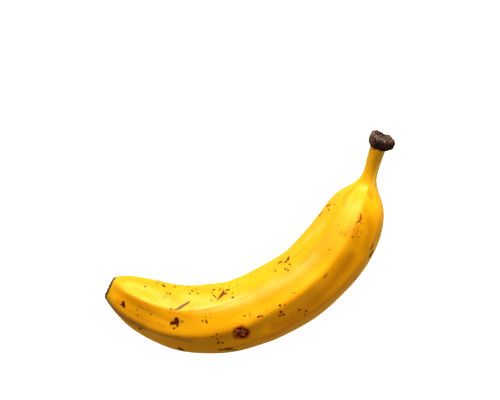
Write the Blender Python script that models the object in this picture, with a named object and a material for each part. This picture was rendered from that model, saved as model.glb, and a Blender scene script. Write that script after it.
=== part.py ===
"""A ripe banana in its peel, lying on its side, as one solid: stem stump, neck, ridged body and blossom end.

Metres, +Z up. X runs along the fruit from the blossom end to the stem, the bend opens towards +Y, and the
origin is under the middle of the fruit's box, on the surface that it rests on.
"""

import math

import bmesh
import bpy
import numpy as np

# Driving dimensions
LENGTH = 0.2082  # the middle line seen from above, from the stem's cut face to the blossom end
BODY_HALF_WIDTH = 0.0188  # the widest round section, without its ridges
BODY_ROUNDNESS = 0.95  # the height of a section of the peel over its width
STUMP_HALF_WIDTH = 0.0062  # without its lobes
STUMP_DEPTH = 0.0056
STUMP_STEP = 0.0008  # how softly the stump steps down to the neck
STUMP_RIM = 0.0016  # rounding of the cut face's rim
FACE_HOLLOW = 0.0009  # depth of the cut face inside its rim
SCAR_RIM = 0.0014  # rounding of the rim round the blossom scar
SCAR_DISH = 0.0012  # depth of the scar inside its rim
LINE_LEAN = 1.6  # degrees from X to the line between the two ends, so that the longest extent is along X

# The mesh
FACE_COLUMNS = 5  # from one ridge to the next
CAP_RINGS = 4
LINE_POINTS = 1201
RING_STEPS = ((0.009, 0.0008), (0.045, 0.0017), (0.192, 0.0034), (LENGTH, 0.0016))  # up to here, this apart

# Along the middle line, as shares of LENGTH: how far it has turned in plan, in degrees
TURNS = (
    (0, 3),
    (0.07, -8.5),
    (0.14, -3.5),
    (0.21, -0.5),
    (0.3, 11),
    (0.5, 36.5),
    (0.7, 62),
    (0.8, 80),
    (0.9, 94),
    (1, 93),
)

# Its height above the table, in metres
HEIGHTS = (
    (0, 0.0295),
    (0.05, 0.0244),
    (0.1, 0.0200),
    (0.15, 0.0172),
    (0.2, 0.0165),
    (0.3, 0.0173),
    (0.5, 0.0178),
    (0.6, 0.0174),
    (0.7, 0.0168),
    (0.8, 0.0159),
    (0.9, 0.0148),
    (1, 0.0140),
)

# Half of the width without ridges, as shares of BODY_HALF_WIDTH
HALF_WIDTHS = (
    (0, 0.225),
    (0.04, 0.215),
    (0.08, 0.208),
    (0.112, 0.24),
    (0.135, 0.36),
    (0.16, 0.575),
    (0.185, 0.745),
    (0.22, 0.87),
    (0.27, 0.95),
    (0.36, 0.99),
    (0.5, 1.01),
    (0.65, 0.99),
    (0.74, 0.95),
    (0.82, 0.88),
    (0.88, 0.775),
    (0.93, 0.655),
    (0.965, 0.525),
    (1, 0.31),
)

# The ridges of the peel, in the order round the fruit. In a cross section an angle of 0 points to the
# outside of the bend, 90 up and 180 to the inside. Each ridge has three rows along the fruit: its angle in
# degrees, its height as a share of the half width, and the rounding of its crest as a share of half the face
# beside it
RIDGES = (
    (
        ((0, 42), (0.2, 40), (0.3, 39.5), (0.45, 42), (0.65, 36), (1, 10)),
        ((0, 0.03), (0.25, 0.045), (0.7, 0.045), (1, 0.03)),
        ((0, 0.3), (1, 0.3)),
    ),
    (
        (
            (0, 82),
            (0.14, 83),
            (0.22, 85),
            (0.4, 84),
            (0.5, 82.5),
            (0.6, 77),
            (0.7, 69),
            (0.8, 60),
            (0.9, 51.5),
            (1, 46),
        ),
        ((0, 0.03), (0.25, 0.06), (0.8, 0.06), (1, 0.07)),
        ((0, 0.2), (0.25, 0.25), (0.4, 0.2), (0.55, 0.28), (0.7, 0.4), (0.85, 0.4), (1, 0.3)),
    ),
    (
        (
            (0, 150),
            (0.16, 141),
            (0.24, 131.5),
            (0.33, 126),
            (0.43, 122),
            (0.6, 119.5),
            (0.7, 115),
            (0.8, 105.5),
            (0.87, 102),
            (0.93, 101),
            (0.97, 110),
            (1, 134),
        ),
        (
            (0, 0.02),
            (0.3, 0.02),
            (0.5, 0.015),
            (0.66, 0.02),
            (0.74, 0.05),
            (0.82, 0.085),
            (0.9, 0.115),
            (1, 0.13),
        ),
        ((0, 0.3), (0.3, 0.5), (0.55, 0.5), (0.7, 0.25), (0.8, 0.1), (1, 0.1)),
    ),
    (
        ((0, 190), (0.5, 186), (1, 168)),
        ((0, 0.04), (0.25, 0.08), (0.7, 0.08), (1, 0.12)),
        ((0, 0.2), (1, 0.15)),
    ),
    (
        ((0, 252), (0.5, 244), (1, 228)),
        ((0, 0.04), (0.25, 0.09), (0.7, 0.1), (1, 0.12)),
        ((0, 0.2), (1, 0.15)),
    ),
    (
        ((0, 320), (0.5, 312), (1, 292)),
        ((0, 0.04), (0.25, 0.1), (0.7, 0.1), (1, 0.12)),
        ((0, 0.2), (1, 0.15)),
    ),
)

# The lobes of the stump, its notch and its flat: angle, height as a share of the radius, half width in
# degrees
LOBES = ((350, 0.22, 30), (300, 0.2, 25), (272, -0.32, 14), (225, 0.14, 38), (85, -0.25, 40))

# Colour and roughness of each surface, in the order of the faces' material numbers
SURFACES = {
    "ripe_peel": ((0.90, 0.52, 0.02), 0.42),
    "dried_stem": ((0.05, 0.03, 0.022), 0.85),
    "blossom_scar": ((0.04, 0.028, 0.018), 0.9),
}


def through(stations, at):
    """The natural cubic spline through (place, value) stations."""
    place, value = np.array(stations, float).T
    gap = np.diff(place)
    slope = np.diff(value) / gap
    system = np.eye(len(place))
    right = np.zeros(len(place))
    for i in range(1, len(place) - 1):
        system[i, i - 1 : i + 2] = gap[i - 1], 2 * (gap[i - 1] + gap[i]), gap[i]
        right[i] = 6 * (slope[i] - slope[i - 1])
    bend = np.linalg.solve(system, right)
    i = np.clip(np.searchsorted(place, at) - 1, 0, len(gap) - 1)
    t = at - place[i]
    start = slope[i] - gap[i] * (2 * bend[i] + bend[i + 1]) / 6
    return value[i] + t * start + t**2 * bend[i] / 2 + t**3 * (bend[i + 1] - bend[i]) / (6 * gap[i])


def middle_line():
    """Points on the middle line, from the stem to the blossom end."""
    share = np.linspace(0, 1, LINE_POINTS)
    turn = -np.radians(through(TURNS, share))
    step = LENGTH / (LINE_POINTS - 1)
    plan = np.concatenate([[0], np.cumsum(np.exp(1j * turn[:-1]) * step)])
    plan *= -np.exp(1j * math.radians(LINE_LEAN)) * abs(plan[-1]) / plan[-1]
    return np.stack([plan.real, plan.imag, through(HEIGHTS, share)], axis=1)


def frame_along(line):
    """The line's direction at each point, the level way to the outside of the bend, and the way up."""
    ahead = np.gradient(line, axis=0)
    ahead /= np.linalg.norm(ahead, axis=1, keepdims=True)
    outside = np.stack([-ahead[:, 1], ahead[:, 0], np.zeros(len(ahead))], axis=1)
    outside /= np.linalg.norm(outside, axis=1, keepdims=True)
    return ahead, outside, np.cross(ahead, outside)


def crest(away, rounding):
    """A ridge's share of its height: 1 at its crest, 0 from the middle of the face beside it."""
    rounded = (math.hypot(away, rounding) - rounding) / (math.hypot(1, rounding) - rounding)
    return max(0, 1 - rounded) ** 2


def peel_ring(share):
    """The angle and the radius of each column of points round one section of the peel."""
    ridges = [[through(stations, share) for stations in ridge] for ridge in RIDGES]
    half_width = through(HALF_WIDTHS, share) * BODY_HALF_WIDTH
    for ridge, following in zip(ridges, ridges[1:] + ridges[:1]):
        angle, height, rounding = ridge
        next_angle, next_height, next_rounding = following
        for part in np.arange(FACE_COLUMNS) / FACE_COLUMNS:
            ridged = 1 + height * crest(2 * part, rounding) + next_height * crest(2 - 2 * part, next_rounding)
            yield angle + part * ((next_angle - angle) % 360), half_width * ridged


def stump_radius(angle):
    """The radius of the stump, with its lobes and notch."""
    lobes = 0
    for middle, height, half_width in LOBES:
        away = (angle - middle + 180) % 360 - 180
        lobes += height * math.exp(-((away / half_width) ** 2))
    return STUMP_HALF_WIDTH * (1 + lobes)


def rounded_off(distance, rounding):
    """How much of the radius a rounded rim takes off, this far from the end."""
    inwards = max(0, rounding - distance) / rounding
    return rounding * (1 - math.sqrt(1 - inwards**2))


def section(along):
    """One ring of the surface: how far each column is from the middle line, outwards in the bend and up."""
    stump = 0.5 - 0.5 * math.tanh((along - STUMP_DEPTH) / STUMP_STEP)
    roundness = stump + BODY_ROUNDNESS * (1 - stump)
    taken_off = rounded_off(along, STUMP_RIM) + rounded_off(LENGTH - along, SCAR_RIM)
    points = []
    for angle, radius in peel_ring(along / LENGTH):
        radius = radius * (1 - stump) + stump_radius(angle) * stump - taken_off
        turn = math.radians(angle)
        points.append((radius * math.cos(turn), radius * roundness * math.sin(turn)))
    return points


def ring_places():
    """For each ring: its place along the line, and the share of the full section that it is drawn at."""
    shares = np.linspace(0, 1, CAP_RINGS, endpoint=False)
    places = [(0, share) for share in shares]
    along = 0
    for up_to, step in RING_STEPS:
        while along < up_to - step / 2:
            places.append((along, 1))
            along += step
    return places + [(LENGTH, 1)] + [(LENGTH, share) for share in shares[::-1]]


def roll_up(bm, rings):
    """Lays a sheet of squares round the middle line, one row of points at each ring's place."""
    line = middle_line()
    ahead, outside, up = frame_along(line)
    sections = [section(along) for along, share in rings]
    columns = len(sections[0])
    bmesh.ops.create_grid(bm, x_segments=columns, y_segments=len(rings) - 1, size=0.5)
    for face in bm.faces:
        first_ring = round((min(vert.co.y for vert in face.verts) + 0.5) * (len(rings) - 1))
        along, share = rings[first_ring]
        stem, scar = along < STUMP_DEPTH, along == LENGTH
        face.material_index = 1 if stem else 2 if scar else 0
    for vert in bm.verts:
        column = round((vert.co.x + 0.5) * columns) % columns
        ring = round((vert.co.y + 0.5) * (len(rings) - 1))
        along, share = rings[ring]
        out, high = sections[ring][column]
        at = round(along / LENGTH * (LINE_POINTS - 1))
        hollow = (FACE_HOLLOW if along == 0 else -SCAR_DISH) * (1 - share**4)
        vert.co = line[at] + share * (out * outside[at] + high * up[at]) + hollow * ahead[at]
        vert.co.z = max(0, vert.co.z)
    bmesh.ops.remove_doubles(bm, verts=bm.verts, dist=1e-6)
    bmesh.ops.recalc_face_normals(bm, faces=bm.faces)


def surface(name, colour, roughness):
    """A plain material of one colour."""
    material = bpy.data.materials.new(name)
    material.use_nodes = True
    shader = material.node_tree.nodes["Principled BSDF"]
    shader.inputs["Base Color"].default_value = (*colour, 1)
    shader.inputs["Roughness"].default_value = roughness
    return material


def build_banana():
    """The fruit as one closed mesh, with its box centred over the origin."""
    bm = bmesh.new()
    roll_up(bm, ring_places())
    middle = [(min(v.co[axis] for v in bm.verts) + max(v.co[axis] for v in bm.verts)) / 2 for axis in (0, 1)]
    bmesh.ops.translate(bm, verts=bm.verts, vec=(-middle[0], -middle[1], 0))
    mesh = bpy.data.meshes.new("banana")
    bm.to_mesh(mesh)
    bm.free()
    mesh.shade_smooth()
    for name, (colour, roughness) in SURFACES.items():
        mesh.materials.append(surface(name, colour, roughness))
    bpy.context.scene.collection.objects.link(bpy.data.objects.new("banana", mesh))


for old in list(bpy.data.objects):
    bpy.data.objects.remove(old)
build_banana()
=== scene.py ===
import math
import random

import bmesh
import bpy
import numpy as np
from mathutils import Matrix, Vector, noise
from mathutils.bvhtree import BVHTree


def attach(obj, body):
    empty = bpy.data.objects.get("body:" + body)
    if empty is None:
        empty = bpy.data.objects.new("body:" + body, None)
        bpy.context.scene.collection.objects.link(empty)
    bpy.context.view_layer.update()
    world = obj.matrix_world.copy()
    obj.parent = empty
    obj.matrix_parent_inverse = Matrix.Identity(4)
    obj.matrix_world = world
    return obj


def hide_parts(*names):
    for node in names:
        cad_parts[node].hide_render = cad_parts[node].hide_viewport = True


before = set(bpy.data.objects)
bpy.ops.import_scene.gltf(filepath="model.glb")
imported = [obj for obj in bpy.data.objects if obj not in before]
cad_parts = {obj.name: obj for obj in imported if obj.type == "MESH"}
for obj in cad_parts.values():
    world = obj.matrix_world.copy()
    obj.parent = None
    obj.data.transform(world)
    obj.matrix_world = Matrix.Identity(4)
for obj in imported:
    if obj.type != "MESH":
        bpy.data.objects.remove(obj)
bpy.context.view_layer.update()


# The camera looks straight down on the fruit from arm's length, as for a close product picture. The picture
# is turned so that the stem points to its upper right corner.
PICTURE = (500, 400)  # pixels
PIXEL = 0.000549  # metres on the fruit for each pixel, at the fruit's mid height
MID_HEIGHT = 0.018
CAMERA_OVER = (0.00561, 0.03608)
CAMERA_RISE = 0.9  # above the fruit's mid height
CAMERA_TURN = math.radians(-27.23)
SENSOR = 36  # millimetres


def make_camera():
    data = bpy.data.cameras.new("camera")
    data.sensor_width = SENSOR
    data.lens = SENSOR * CAMERA_RISE / (PICTURE[0] * PIXEL)
    camera = bpy.data.objects.new("camera", data)
    camera.location = (*CAMERA_OVER, MID_HEIGHT + CAMERA_RISE)
    camera.rotation_euler.z = CAMERA_TURN
    bpy.context.scene.collection.objects.link(camera)
    bpy.context.scene.camera = camera


def ray_through(pixel):
    """Where the camera stands, and its direction of view through a pixel of the picture."""
    right = (pixel[0] - PICTURE[0] / 2) * PIXEL
    up = (PICTURE[1] / 2 - pixel[1]) * PIXEL
    turn, rise = math.cos(CAMERA_TURN), math.sin(CAMERA_TURN)
    start = Vector((*CAMERA_OVER, MID_HEIGHT + CAMERA_RISE))
    return start, Vector((right * turn - up * rise, right * rise + up * turn, -CAMERA_RISE)).normalized()


make_camera()


# The table is a white sheet on a light box, so that the fruit's shadow stays faint. One large soft box
# stands at the inside of the bend, and weak warm light comes from all round.
TABLE_SIZE = 6
TABLE_WHITE = (0.3, 0.3, 0.3, 1)
TABLE_ROUGHNESS = 0.9
TABLE_LIGHT = (0.96, 0.93, 0.67, 1)  # on the fruit
TABLE_SEEN = (1, 1, 1, 1)  # in the picture
TABLE_FILL = 0.9  # on dull surfaces
TABLE_GLOW = (0.75, 0.08)  # in the skin's reflection, close to it and farther away
TABLE_GLOW_REACH = (0.008, 0.04)
TABLE_BRIGHT_SIDE = (-0.05, 0.06)  # from the blossom end to the stem's side the glow grows
TABLE_DIM_END = 0.1
TABLE_SEEN_GLOW = 0.75  # in the picture
SOFT_BOX_SIZE = 0.9
SOFT_BOX_FROM = (0.485, 1.175, 0.975)
SOFT_BOX_AT = (0, 0, 0.015)
SOFT_BOX_POWER = 24.6
SOFT_BOX_COLOUR = (1, 0.97, 0.93)
ROOM_LIGHT = (1, 0.78, 0.52, 1)
ROOM_STRENGTH = 0.24
ROOM_SEEN = (0.95, 0.95, 0.95, 1)


def new_material(name):
    """A new material, its node tree and its surface shader."""
    material = bpy.data.materials.new(name)
    material.use_nodes = True
    return material, material.node_tree, material.node_tree.nodes["Principled BSDF"]


def add(tree, kind, inputs=None, **settings):
    """A shader node with its settings, and with its inputs given as values or as other nodes' outputs."""
    made = tree.nodes.new("ShaderNode" + kind)
    for name, value in settings.items():
        setattr(made, name, value)
    for name, value in (inputs or {}).items():
        if isinstance(value, bpy.types.NodeSocket):
            tree.links.new(value, made.inputs[name])
        else:
            made.inputs[name].default_value = value
    return made


def worked_out(tree, operation, first, second):
    """One sum of two values."""
    return add(tree, "Math", {0: first, 1: second}, operation=operation).outputs[0]


def times(tree, first, second):
    return worked_out(tree, "MULTIPLY", first, second)


def blended(tree, amount, first, second, way="MIX"):
    """The second colour over the first one, by that amount."""
    return add(tree, "Mix", {0: amount, 6: first, 7: second}, data_type="RGBA", blend_type=way).outputs[2]


def ranged(tree, value, low, high, to_low=0, to_high=1, way="LINEAR"):
    """The value moved from one range to another."""
    inputs = {"Value": value, "From Min": low, "From Max": high, "To Min": to_low, "To Max": to_high}
    return add(tree, "MapRange", inputs, interpolation_type=way).outputs["Result"]


def table_material():
    """White paper that is lit from behind."""
    material, tree, shader = new_material("white_sheet")
    path = add(tree, "LightPath").outputs
    place = add(tree, "TexCoord").outputs["Object"]
    across = add(tree, "SeparateXYZ", {0: place}).outputs["X"]
    near = ranged(tree, path["Ray Length"], *TABLE_GLOW_REACH, *TABLE_GLOW)
    sided = times(tree, near, ranged(tree, across, *TABLE_BRIGHT_SIDE, TABLE_DIM_END))
    fill = add(tree, "Mix", {0: path["Is Diffuse Ray"], 2: sided, 3: TABLE_FILL}).outputs[0]
    glow = ranged(tree, path["Is Camera Ray"], 0, 1, fill, TABLE_SEEN_GLOW)
    tint = blended(tree, path["Is Camera Ray"], TABLE_LIGHT, TABLE_SEEN)
    shader.inputs["Base Color"].default_value = TABLE_WHITE
    shader.inputs["Roughness"].default_value = TABLE_ROUGHNESS
    tree.links.new(glow, shader.inputs["Emission Strength"])
    tree.links.new(tint, shader.inputs["Emission Color"])
    return material


def make_table():
    bm = bmesh.new()
    bmesh.ops.create_grid(bm, x_segments=1, y_segments=1, size=TABLE_SIZE / 2)
    mesh = bpy.data.meshes.new("table")
    bm.to_mesh(mesh)
    bm.free()
    mesh.materials.append(table_material())
    table = bpy.data.objects.new("table", mesh)
    bpy.context.scene.collection.objects.link(table)


def make_soft_box():
    data = bpy.data.lights.new("soft_box", "AREA")
    data.shape = "DISK"
    data.size = SOFT_BOX_SIZE
    data.energy = SOFT_BOX_POWER
    data.color = SOFT_BOX_COLOUR
    light = bpy.data.objects.new("soft_box", data)
    light.location = SOFT_BOX_FROM
    light.rotation_euler = (Vector(SOFT_BOX_FROM) - Vector(SOFT_BOX_AT)).to_track_quat("Z", "Y").to_euler()
    bpy.context.scene.collection.objects.link(light)


def make_room():
    world = bpy.data.worlds.new("room")
    world.use_nodes = True
    tree = world.node_tree
    light = tree.nodes["Background"]
    light.inputs["Color"].default_value = ROOM_LIGHT
    light.inputs["Strength"].default_value = ROOM_STRENGTH
    in_picture = add(tree, "LightPath").outputs["Is Camera Ray"]
    seen = add(tree, "Background", {"Color": ROOM_SEEN}).outputs[0]
    both = add(tree, "MixShader", {0: in_picture, 1: light.outputs[0], 2: seen}).outputs[0]
    tree.links.new(both, tree.nodes["World Output"].inputs["Surface"])
    bpy.context.scene.world = world
    bpy.context.scene.view_settings.view_transform = "Standard"
    bpy.context.scene.view_settings.look = "High Contrast"


make_table()
make_soft_box()
make_room()


# The peel is one leathery skin with six ridges, drawn in at the neck and at the blossom end. It is ripe and
# waxy, with fine fibres along it, brown spots, rubbed scars and one round scabbed bruise.
LENGTH = 0.2082  # the middle line seen from above, from the stem's cut face to the blossom end
BODY_HALF_WIDTH = 0.0188
BODY_ROUNDNESS = 0.95
STUMP_HALF_WIDTH = 0.0062
STUMP_DEPTH = 0.0056
STUMP_STEP = 0.0008
STUMP_RIM = 0.0016
SCAR_RIM = 0.0014
LINE_LEAN = 1.6  # degrees
LINE_POINTS = 1201
TURNS = (
    (0, 3), (0.07, -8.5), (0.14, -3.5), (0.21, -0.5), (0.3, 11), (0.5, 36.5), (0.7, 62), (0.8, 80),
    (0.9, 94), (1, 93),
)
HEIGHTS = (
    (0, 0.0295), (0.05, 0.0244), (0.1, 0.0200), (0.15, 0.0172), (0.2, 0.0165), (0.3, 0.0173),
    (0.5, 0.0178), (0.6, 0.0174), (0.7, 0.0168), (0.8, 0.0159), (0.9, 0.0148), (1, 0.0140),
)
HALF_WIDTHS = (
    (0, 0.225), (0.04, 0.215), (0.08, 0.208), (0.112, 0.24), (0.135, 0.36), (0.16, 0.575),
    (0.185, 0.745), (0.22, 0.87), (0.27, 0.95), (0.36, 0.99), (0.5, 1.01), (0.65, 0.99), (0.74, 0.95),
    (0.82, 0.88), (0.88, 0.775), (0.93, 0.655), (0.965, 0.525), (1, 0.31),
)

# The ridges, in the order round the fruit, each with its angles, heights and roundings along the fruit. An
# angle of 0 points to the outside of the bend, 90 up and 180 to its inside.
RIDGES = (
    (
        ((0, 42), (0.2, 40), (0.3, 39.5), (0.45, 42), (0.65, 36), (1, 10)),
        ((0, 0.03), (0.25, 0.045), (0.7, 0.045), (1, 0.03)),
        ((0, 0.3), (1, 0.3)),
    ),
    (
        (
            (0, 82), (0.14, 83), (0.22, 85), (0.4, 84), (0.5, 82.5), (0.6, 77), (0.7, 69), (0.8, 60),
            (0.9, 51.5), (1, 46),
        ),
        ((0, 0.03), (0.25, 0.06), (0.8, 0.06), (1, 0.07)),
        ((0, 0.2), (0.25, 0.25), (0.4, 0.2), (0.55, 0.28), (0.7, 0.4), (0.85, 0.4), (1, 0.3)),
    ),
    (
        (
            (0, 150), (0.16, 141), (0.24, 131.5), (0.33, 126), (0.43, 122), (0.6, 119.5), (0.7, 115),
            (0.8, 105.5), (0.87, 102), (0.93, 101), (0.97, 110), (1, 134),
        ),
        (
            (0, 0.02), (0.3, 0.02), (0.5, 0.015), (0.66, 0.02), (0.74, 0.05), (0.82, 0.085),
            (0.9, 0.115), (1, 0.13),
        ),
        ((0, 0.3), (0.3, 0.5), (0.55, 0.5), (0.7, 0.25), (0.8, 0.1), (1, 0.1)),
    ),
    (
        ((0, 190), (0.5, 186), (1, 168)),
        ((0, 0.04), (0.25, 0.08), (0.7, 0.08), (1, 0.12)),
        ((0, 0.2), (1, 0.15)),
    ),
    (
        ((0, 252), (0.5, 244), (1, 228)),
        ((0, 0.04), (0.25, 0.09), (0.7, 0.1), (1, 0.12)),
        ((0, 0.2), (1, 0.15)),
    ),
    (
        ((0, 320), (0.5, 312), (1, 292)),
        ((0, 0.04), (0.25, 0.1), (0.7, 0.1), (1, 0.12)),
        ((0, 0.2), (1, 0.15)),
    ),
)

# The stump's lobes and notch: angle, height as a share of its radius, and half width in degrees
LOBES = ((350, 0.22, 30), (300, 0.2, 25), (272, -0.32, 14), (225, 0.14, 38), (85, -0.25, 40))

PEEL_FACE_COLUMNS = 38  # from one ridge to the next
PEEL_RINGS = 410
PEEL_CAP_RINGS = 3
PEEL_FROM = 0.0046  # hidden under the stump
PEEL_TO = LENGTH - 0.0003  # just under the blossom scar
PEEL_SUNK = 0.003  # how far its closed end lies under the scar's dish, in the middle
TABLE_PRESS = 0.0002  # how softly the belly flattens on the table
BOX_RINGS = 400  # for measuring the whole fruit
BOX_FACE_COLUMNS = 5
WELD = 1e-6  # metres, within which points become one


def through(stations, at):
    """The natural cubic spline through (place, value) stations."""
    place, value = np.array(stations, float).T
    gap = np.diff(place)
    slope = np.diff(value) / gap
    system = np.eye(len(place))
    right = np.zeros(len(place))
    for i in range(1, len(place) - 1):
        system[i, i - 1 : i + 2] = gap[i - 1], 2 * (gap[i - 1] + gap[i]), gap[i]
        right[i] = 6 * (slope[i] - slope[i - 1])
    bend = np.linalg.solve(system, right)
    i = np.clip(np.searchsorted(place, at) - 1, 0, len(gap) - 1)
    t = at - place[i]
    start = slope[i] - gap[i] * (2 * bend[i] + bend[i + 1]) / 6
    return value[i] + t * start + t**2 * bend[i] / 2 + t**3 * (bend[i + 1] - bend[i]) / (6 * gap[i])


def along_the_line(along):
    """The middle line at these places, its direction, the level way out of the bend, and the way up."""
    share = np.linspace(0, 1, LINE_POINTS)
    turn = -np.radians(through(TURNS, share))
    step = LENGTH / (LINE_POINTS - 1)
    plan = np.concatenate([[0], np.cumsum(np.exp(1j * turn[:-1]) * step)])
    plan *= -np.exp(1j * math.radians(LINE_LEAN)) * abs(plan[-1]) / plan[-1]
    line = np.stack([plan.real, plan.imag, through(HEIGHTS, share)], axis=1)
    ahead = np.gradient(line, axis=0)
    ahead /= np.linalg.norm(ahead, axis=1, keepdims=True)
    outside = np.stack([-ahead[:, 1], ahead[:, 0], np.zeros(len(ahead))], axis=1)
    outside /= np.linalg.norm(outside, axis=1, keepdims=True)
    up = np.cross(ahead, outside)
    return [
        np.stack([np.interp(along / LENGTH, share, values[:, axis]) for axis in range(3)], axis=1)
        for values in (line, ahead, outside, up)
    ]


def crest(away, rounding):
    """A ridge's share of its height: 1 at its crest, 0 from the middle of the face beside it."""
    rounded = (np.hypot(away, rounding) - rounding) / (np.hypot(1, rounding) - rounding)
    return np.maximum(0, 1 - rounded) ** 2


def peel_radii(along, face_columns):
    """The angle in degrees and the radius of each column of points, in each ring of the peel."""
    share = along / LENGTH
    angles, heights, roundings = (
        np.array([through(ridge[kind], share) for ridge in RIDGES]).T[..., None] for kind in range(3)
    )
    part = np.arange(face_columns) / face_columns
    angle = angles + part * ((np.roll(angles, -1, axis=1) - angles) % 360)
    ridged = 1 + heights * crest(2 * part, roundings)
    ridged += np.roll(heights, -1, axis=1) * crest(2 - 2 * part, np.roll(roundings, -1, axis=1))
    half_width = through(HALF_WIDTHS, share) * BODY_HALF_WIDTH
    return angle.reshape(len(along), -1), half_width[:, None] * ridged.reshape(len(along), -1)


def stump_radii(angle):
    """The radius of the stump, with its lobes and notch."""
    lobes = 0
    for middle, height, half_width in LOBES:
        away = (angle - middle + 180) % 360 - 180
        lobes = lobes + height * np.exp(-((away / half_width) ** 2))
    return STUMP_HALF_WIDTH * (1 + lobes)


def rounded_off(distance, rounding):
    """How much of the radius a rounded rim takes off, this far from the end."""
    inwards = np.clip(rounding - distance, 0, rounding) / rounding
    return rounding * (1 - np.sqrt(1 - inwards**2))


def with_stump(along, angle, radius):
    """The peel's radius and roundness where it swells into the stump."""
    stump = (0.5 - 0.5 * np.tanh((along - STUMP_DEPTH) / STUMP_STEP))[:, None]
    radius = radius * (1 - stump) + stump_radii(angle) * stump
    return radius, stump + BODY_ROUNDNESS * (1 - stump)


def placed(along, angle, radius, roundness, push=0):
    """The points round the middle line, before the fruit is centred, and the same on an unbent fruit."""
    line, ahead, outside, up = (values[:, None] for values in along_the_line(along))
    out = radius * np.cos(np.radians(angle))
    high = radius * roundness * np.sin(np.radians(angle))
    push = np.broadcast_to(push, out.shape)
    points = line + out[..., None] * outside + high[..., None] * up + push[..., None] * ahead
    return points, np.stack([along[:, None] + push, out, high], axis=-1)


def middle_of_box():
    """The middle of the whole fruit's box in plan, which is the origin of the finished object."""
    along = np.linspace(0, LENGTH, BOX_RINGS)
    angle, radius = peel_radii(along, BOX_FACE_COLUMNS)
    radius, roundness = with_stump(along, angle, radius)
    radius = radius - (rounded_off(along, STUMP_RIM) + rounded_off(LENGTH - along, SCAR_RIM))[:, None]
    points = placed(along, angle, radius, roundness)[0].reshape(-1, 3)
    return (points.min(axis=0) + points.max(axis=0)) / 2 * (1, 1, 0)


MIDDLE = middle_of_box()


def rolled_up(points, unbent):
    """A sheet of squares laid through the points and closed into a skin, with its unbent places kept."""
    rings, columns = points.shape[:2]
    points = points - MIDDLE
    points[..., 2] = (points[..., 2] + np.hypot(points[..., 2], TABLE_PRESS)) / 2
    bm = bmesh.new()
    bmesh.ops.create_grid(bm, x_segments=columns, y_segments=rings - 1, size=0.5)
    kept = bm.verts.layers.float_vector.new("unbent")
    for vert in bm.verts:
        column = round((vert.co.x + 0.5) * columns) % columns
        ring = round((vert.co.y + 0.5) * (rings - 1))
        vert.co = points[ring, column]
        vert[kept] = unbent[ring, column]
    bmesh.ops.remove_doubles(bm, verts=bm.verts, dist=WELD)
    bmesh.ops.recalc_face_normals(bm, faces=bm.faces)
    bm.normal_update()
    return bm


def closed(along, cap_rings):
    """The rings' places with closing rings at both ends, and each ring's share of the full section."""
    shares = np.linspace(0, 1, cap_rings, endpoint=False)
    places = np.concatenate([np.full(cap_rings, along[0]), along, np.full(cap_rings, along[-1])])
    return places, np.concatenate([shares, np.ones(len(along)), shares[::-1]])[:, None]


def peel_form():
    """The plain skin, without its marks."""
    along, share = closed(np.linspace(PEEL_FROM, PEEL_TO, PEEL_RINGS), PEEL_CAP_RINGS)
    angle, radius = peel_radii(along, PEEL_FACE_COLUMNS)
    radius = radius - rounded_off(LENGTH - along, SCAR_RIM)[:, None]
    sunk = -PEEL_SUNK * (1 - share**2) * (along == PEEL_TO)[:, None]
    return rolled_up(*placed(along, angle, radius * share, BODY_ROUNDNESS, sunk))


# Marks that the picture shows: each row has the pixels that the mark runs through and its half width in
# millimetres
SPOTS = (
    (((176.4, 319.4), (176.9, 322.4)), 1.05),
    (((171.6, 323.3), (175.6, 322.7)), 0.8),
    (((176.5, 323.6), (177.7, 325.8)), 0.4),
    (((181.5, 322.3),), 0.25),
    (((123.2, 302.6), (123.8, 306.3)), 0.7),
    (((121.5, 304.6), (123.4, 305)), 0.45),
    (((139.9, 328.6),), 0.65),
    (((218.4, 342.9),), 0.5),
    (((222.7, 343.1),), 0.4),
    (((216.7, 334.3),), 0.4),
    (((217.2, 339),), 0.38),
    (((202.4, 320.6), (202.6, 321.6)), 0.2),
    (((206, 320.6), (206.9, 322.8)), 0.28),
    (((179.2, 348.2), (183.2, 349.8)), 0.7),
    (((279.9, 305.5),), 0.5),
    (((280.8, 311.8),), 0.52),
    (((283.7, 314.7),), 0.48),
    (((279.9, 315.7),), 0.45),
    (((299.2, 309.8),), 0.46),
    (((306.2, 311.4),), 0.48),
    (((304.6, 314.7),), 0.28),
    (((258.2, 317.2), (259.4, 316.4)), 0.42),
    (((262.1, 316.1),), 0.36),
    (((372.8, 252), (370.2, 256.2)), 1),
    (((373.4, 245), (370.9, 249.2)), 0.3),
    (((356.2, 277.4), (354.4, 280.2)), 0.45),
    (((232, 297.6), (233, 297)), 0.4),
    (((324.9, 277),), 0.3),
)
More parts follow.
